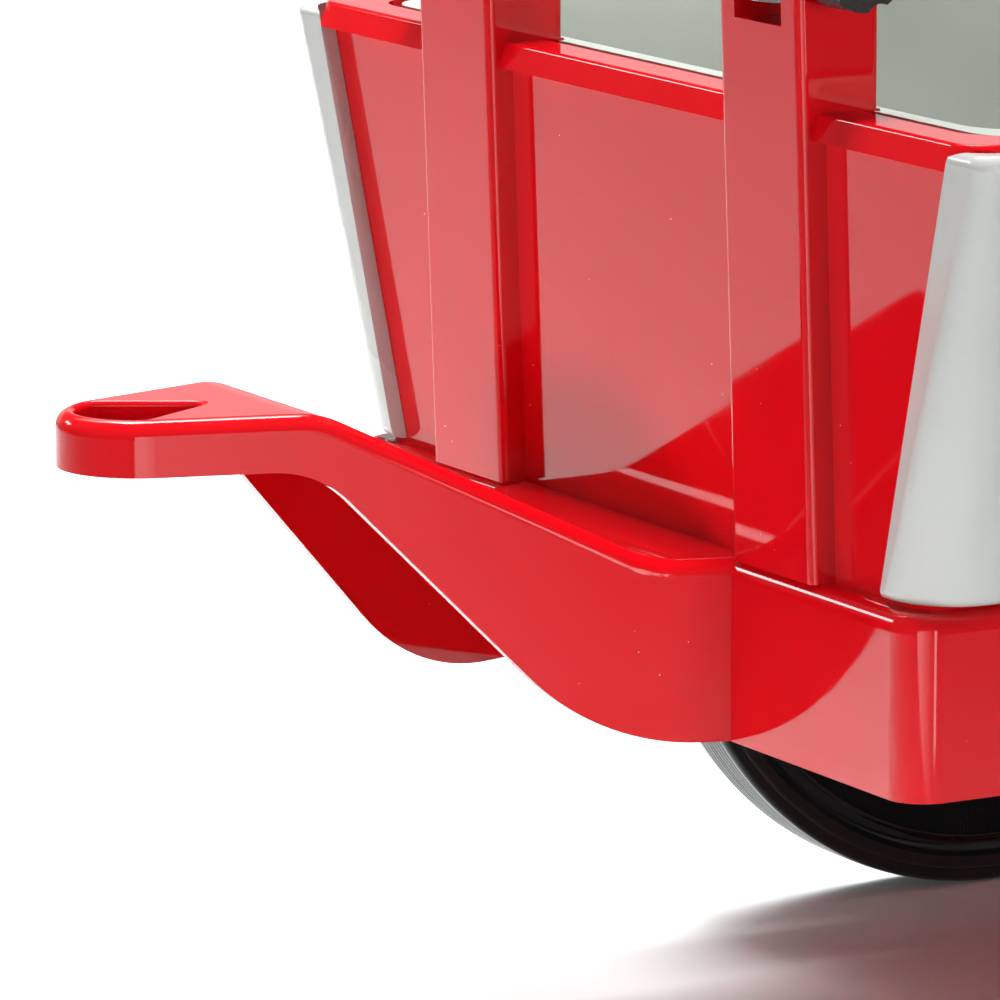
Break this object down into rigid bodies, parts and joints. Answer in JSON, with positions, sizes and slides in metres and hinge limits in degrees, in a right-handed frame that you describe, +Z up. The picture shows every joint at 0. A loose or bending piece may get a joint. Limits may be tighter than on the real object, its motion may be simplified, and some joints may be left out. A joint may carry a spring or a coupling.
{
  "type": "mop bucket trolley",
  "caption": "Wheeled mop bucket trolley with tow tongue, lift-out tub, lever wringer with geared press plates, folding push handle and string mop.",
  "frame": {"origin": "on the floor, under the middle of the overall length and width", "axes": "+X from the tow tongue to the rear, +Y to the left side, +Z up along the mop pole"},
  "size_m": [0.6273, 0.418, 1.38],
  "materials": {
    "red_plastic": "high gloss injection-moulded plastic, fine scratches",
    "silver_plastic": "semi-gloss silver-grey plastic",
    "grey_plastic": "satin grey-green plastic",
    "black_gloss": "glossy black blow-moulded plastic",
    "black_plastic": "textured black plastic",
    "wringer_plastic": "satin grey plastic",
    "plate_plastic": "satin red plastic",
    "nylon": "natural nylon",
    "zinc_steel": "zinc-plated steel",
    "aluminium_tube": "satin anodised tube",
    "grip_rubber": "matte moulded rubber",
    "tyre_rubber": "grey-black elastic rubber",
    "mop_yarn": "twisted cotton yarn"
  },
  "bodies": {
    "trolley": {"chassis": "red_plastic", "tow_tongue": "red_plastic", "tongue_screws": "zinc_steel", "body_shell": "red_plastic", "axle": "zinc_steel", "handle_bolts": "zinc_steel", "side_panel_left": "silver_plastic", "side_panel_right": "silver_plastic", "axle_block_left": "black_plastic", "axle_block_right": "black_plastic", "axle_spacer_left": "nylon", "axle_spacer_right": "nylon", "axle_cap_left": "black_plastic", "axle_cap_right": "black_plastic"},
    "left_wheel": {"wheel_left": "black_gloss", "hub_bush_left": "nylon"},
    "right_wheel": {"wheel_right": "black_gloss", "hub_bush_right": "nylon"},
    "left_caster": {"caster_fork_left": "zinc_steel", "caster_axle_left": "zinc_steel"},
    "right_caster": {"caster_fork_right": "zinc_steel", "caster_axle_right": "zinc_steel"},
    "left_roller": {"caster_wheel_left": "black_plastic", "caster_tyre_left": "tyre_rubber"},
    "right_roller": {"caster_wheel_right": "black_plastic", "caster_tyre_right": "tyre_rubber"},
    "handle": {"push_handle": "aluminium_tube", "handle_grip": "grip_rubber"},
    "left_knob": {"handle_knob_left": "black_plastic"},
    "right_knob": {"handle_knob_right": "black_plastic"},
    "tub": {"bucket": "grey_plastic"},
    "wringer": {"wringer_frame": "wringer_plastic", "wringer_floor": "wringer_plastic", "return_spring": "zinc_steel", "shaft_bush_left": "nylon", "shaft_bush_right": "nylon", "gear_cover_left": "black_plastic", "gear_cover_right": "black_plastic"},
    "lever": {"lever_shaft": "zinc_steel", "lever_arm": "aluminium_tube", "lever_grip": "grip_rubber", "lever_cap": "black_plastic", "pinion_left": "plate_plastic", "pinion_right": "plate_plastic"},
    "front_plate": {"front_press_plate": "plate_plastic", "front_rack_left": "plate_plastic", "front_rack_right": "plate_plastic"},
    "rear_plate": {"rear_press_plate": "plate_plastic", "rear_rack_left": "plate_plastic", "rear_rack_right": "plate_plastic"},
    "mop": {"mop_pole": "aluminium_tube", "mop_grip": "grip_rubber", "mop_socket": "red_plastic", "mop_clamp": "black_plastic", "mop_head": "mop_yarn"}
  },
  "joints": [
    {"name": "left_wheel_spin", "type": "hinge", "parent": "trolley", "child": "left_wheel", "pos_m": [0.0895, 0.1865, 0.1155], "axis": [0, 1, 0], "continuous": true},
    {"name": "left_caster_swivel", "type": "hinge", "parent": "trolley", "child": "left_caster", "pos_m": [0.229, 0.088, 0.12], "axis": [0, 0, 1], "continuous": true},
    {"name": "left_caster_spin", "type": "hinge", "parent": "left_caster", "child": "left_roller", "pos_m": [0.257, 0.088, 0.05], "axis": [0, 1, 0], "continuous": true},
    {"name": "left_knob_turn", "type": "hinge", "parent": "trolley", "child": "left_knob", "pos_m": [-0.144, 0.11, 0.327], "axis": [0, 1, 0], "range_deg": [0, 180]},
    {"name": "right_wheel_spin", "type": "hinge", "parent": "trolley", "child": "right_wheel", "pos_m": [0.0895, -0.1865, 0.1155], "axis": [0, 1, 0], "continuous": true},
    {"name": "right_caster_swivel", "type": "hinge", "parent": "trolley", "child": "right_caster", "pos_m": [0.229, -0.088, 0.12], "axis": [0, 0, 1], "continuous": true},
    {"name": "right_caster_spin", "type": "hinge", "parent": "right_caster", "child": "right_roller", "pos_m": [0.257, -0.088, 0.05], "axis": [0, 1, 0], "continuous": true},
    {"name": "right_knob_turn", "type": "hinge", "parent": "trolley", "child": "right_knob", "pos_m": [-0.144, -0.11, 0.327], "axis": [0, 1, 0], "range_deg": [0, 180]},
    {"name": "handle_fold", "type": "hinge", "parent": "trolley", "child": "handle", "pos_m": [-0.144, 0, 0.327], "axis": [0, 1, 0], "range_deg": [-90, 0]},
    {"name": "bucket_lift", "type": "slide", "parent": "trolley", "child": "tub", "axis": [0, 0, 1], "range_m": [0, 0.15]},
    {"name": "wringer_lift", "type": "slide", "parent": "tub", "child": "wringer", "axis": [0, 0, 1], "range_m": [0, 0.2]},
    {"name": "lever_pull", "type": "hinge", "parent": "wringer", "child": "lever", "pos_m": [0.235, 0, 0.346], "axis": [0, 1, 0], "range_deg": [0, 80], "stiffness_Nm_per_rad": 1.2, "springref_deg": -34.38},
    {"name": "front_plate_slide", "type": "slide", "parent": "wringer", "child": "front_plate", "axis": [1, 0, 0], "range_m": [0, 0.049]},
    {"name": "rear_plate_slide", "type": "slide", "parent": "wringer", "child": "rear_plate", "axis": [-1, 0, 0], "range_m": [0, 0.049]},
    {"name": "mop_lift", "type": "slide", "parent": "tub", "child": "mop", "axis": [0, 0, 1], "range_m": [0, 0.35]}
  ],
  "couplings": [
    {"joint": "front_plate_slide", "follows": "lever_pull", "m_per_rad": 0.035},
    {"joint": "rear_plate_slide", "follows": "lever_pull", "m_per_rad": 0.035}
  ]
}
